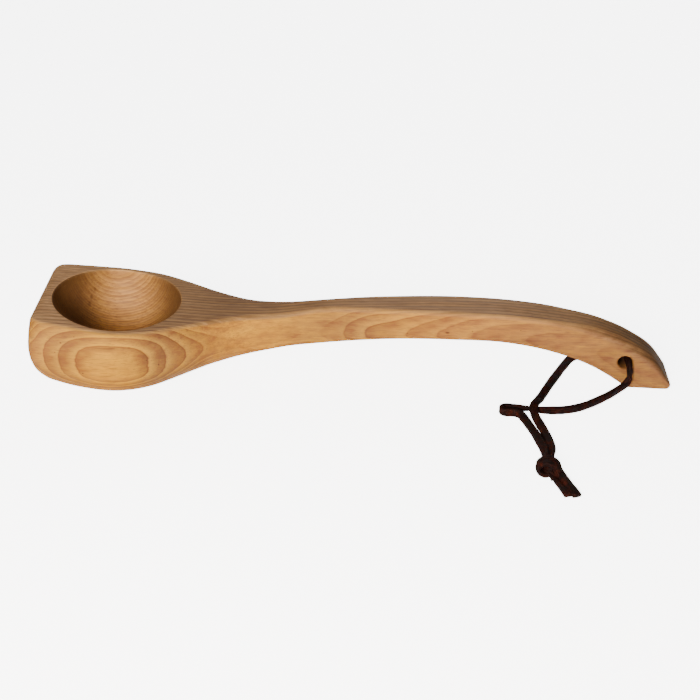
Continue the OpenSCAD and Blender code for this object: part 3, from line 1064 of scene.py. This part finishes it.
def make_wood():
    n = Nodes("oiled_wood")
    side, edge_highlight = n.attribute("side"), n.attribute("edge_highlight")
    wander = off_middle(n, (18, 50, 50), 2, 0.4)
    ring, spring, band = ring_marks(n, side, wander)
    dark_lines, light_lines = top_lines(n, wander)
    pores = n.noise(n.position((90, 1500, 1500)), 1, 3, 0.6)
    streaks = n.noise(n.position((14, 330, 330)), 1, 4, 0.65)
    tone = fibre_tone(n, streaks)
    honey = layered(n, n.ramp(tone, HONEY), [
        (band, 0.22, (0.24, 0.088, 0.018)),
        (spring, 0.40, (0.76, 0.38, 0.045)),
        (ring, 0.66, (0.17, 0.055, 0.016)),
    ])
    brown = layered(n, n.ramp(tone, BROWN), [
        (band, 0.14, (0.17, 0.08, 0.030)),
        (spring, 0.30, (0.60, 0.36, 0.17)),
        (ring, 0.55, (0.12, 0.052, 0.020)),
        (light_lines, 1.0, (0.62, 0.36, 0.155)),
        (dark_lines, 1.0, (0.10, 0.046, 0.018)),
    ])
    # The top's browner wood is partly real grain and partly painted shade of the top face
    colour = layered(n, n.mix(n.attribute("brown_and_shade"), honey, brown), [
        (n.between(pores, 0.34, 0.46, 1.0, 0.0), 0.45, (0.18, 0.07, 0.024)),
        # Painted highlight: paler wood along the rounded rim and top edges
        (edge_highlight, 0.40, (0.74, 0.43, 0.14)),
        # Darker bowl walls: partly end grain, partly painted shade
        (n.attribute("end_grain_and_shade"), END_GRAIN_AND_SHADE_DARK, (0.055, 0.023, 0.008)),
    ])
    green, blue = n.mix_value(side, 1.1, 0.85), n.mix_value(side, 1.3, -0.2)
    toned = n.toned(n.attribute("tone"), green, blue, n.attribute("cool"))
    colour = n.mix(1.0, colour, toned, "MULTIPLY")
    # Dark knots and marks, and painted shade in the hanging hole
    colour = n.mix(n.spots(KNOTS_AND_HOLE_SHADE), colour, (0.045, 0.016, 0.007))
    n.put(n.shader.inputs["Base Color"], colour)
    n.put(n.shader.inputs["Roughness"], n.between(streaks, 0.3, 0.7, 0.48, 0.66))
    n.shader.inputs["Specular IOR Level"].default_value = 0.25
    relief = n.math("ADD", n.math("MULTIPLY", ring, -0.6), n.math("MULTIPLY", pores, 0.5))
    n.put(n.shader.inputs["Normal"], n.bump(relief, 0.3, 0.0003))
    return n.material


def add_ladle():
    skin = make_ladle()
    p = np.array(skin.points)
    x = p[:, 0]
    values = dict(zip(SHARES, np.array(skin.shares).T))
    values["rings_shown"] = values["rings_shown"] * along(SHOWN_LINE, x)
    side, brown_and_shade = values["side"], values["brown_and_shade"]
    from_centre = np.linalg.norm(p - BOWL_MIDDLE, axis=1)
    in_bowl = (side < 0.01) & (brown_and_shade < 0.7) & (from_centre < BOWL_RADIUS + RIM_ROUND)
    # The top's tone is darker than the bowl's, partly as painted shade of the top face
    upper_tone = np.where(in_bowl, BOWL_TONE, along(TOP_TONE_LINE, x))
    values["tone"] = side * along(SIDE_TONE_LINE, x) + (1 - side) * upper_tone
    # End grain and painted shade on the bowl's walls, darker further from its middle along x
    from_middle = END_GRAIN_PULL * np.abs(x - BOWL_MIDDLE[0]) / BOWL_RADIUS
    values["end_grain_and_shade"] = ease((from_middle - END_GRAIN_START) / END_GRAIN_RUN) * in_bowl
    values["cool"] = 1 + side * (along(COOL_LINE, x) - 1)
    values["rings_top"], values["rings_side"] = ring_layers(p)
    piece = add_mesh("ladle_body", p, skin.faces, make_wood(), values)
    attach(piece, "root")
    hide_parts("wooden_ladle")


add_ladle()


# ---------------------------------------------------------------------------------------------
# Floor, lights and world
# ---------------------------------------------------------------------------------------------
# Half the floor's size in millimetres, the strength of its glow, and how far it lies under the
# table's height in metres, so that no underside lies in it
FLOOR_HALF = 9000
FLOOR_GLOW = 6.0
FLOOR_DROP = 0.0001
# Warm light of the two lamps in front
LAMP_COLOUR = (1.0, 0.91, 0.83)


def make_floor():
    """A pale floor with its own glow, which lights nothing but the floor itself."""
    n = Nodes("pale_floor")
    n.shader.inputs["Base Color"].default_value = (0.8, 0.8, 0.8, 1)
    n.shader.inputs["Roughness"].default_value = 0.9
    n.shader.inputs["Specular IOR Level"].default_value = 0.1
    n.shader.inputs["Emission Color"].default_value = (1, 1, 1, 1)
    n.shader.inputs["Emission Strength"].default_value = FLOOR_GLOW
    size = FLOOR_HALF
    floor = add_mesh(
        "floor",
        [(-size, -size, 0), (size, -size, 0), (size, size, 0), (-size, size, 0)],
        [(0, 1, 2, 3)],
        n.material,
    )
    floor.location.z = -FLOOR_DROP
    lit = bpy.data.collections.new("lit_by_floor")
    lit.objects.link(floor)
    floor.light_linking.receiver_collection = lit


def add_light(name, place, target, size, power, colour=(1, 1, 1)):
    """A round area light at a place, turned towards a target."""
    data = bpy.data.lights.new(name, "AREA")
    data.shape = "DISK"
    data.size = size
    data.energy = power
    data.color = colour
    light = bpy.data.objects.new(name, data)
    bpy.context.scene.collection.objects.link(light)
    light.location = place
    light.rotation_euler = (Vector(target) - Vector(place)).to_track_quat("-Z", "Y").to_euler()


def make_lights():
    world = bpy.data.worlds.new("studio")
    world.use_nodes = True
    sky = world.node_tree.nodes["Background"]
    sky.inputs["Color"].default_value = (1, 1, 1, 1)
    sky.inputs["Strength"].default_value = 0.12
    bpy.context.scene.world = world
    add_light("key", (-0.22, -0.92, 0.46), (-0.06, 0, 0.03), 0.34, 15, LAMP_COLOUR)
    add_light("low_fill", (-0.75, -0.75, 0.09), (-0.05, 0, 0.03), 0.16, 1.6, LAMP_COLOUR)
    add_light("back", (0.15, 1.0, 0.95), (0, 0, 0.03), 0.6, 5)


make_floor()
make_lights()
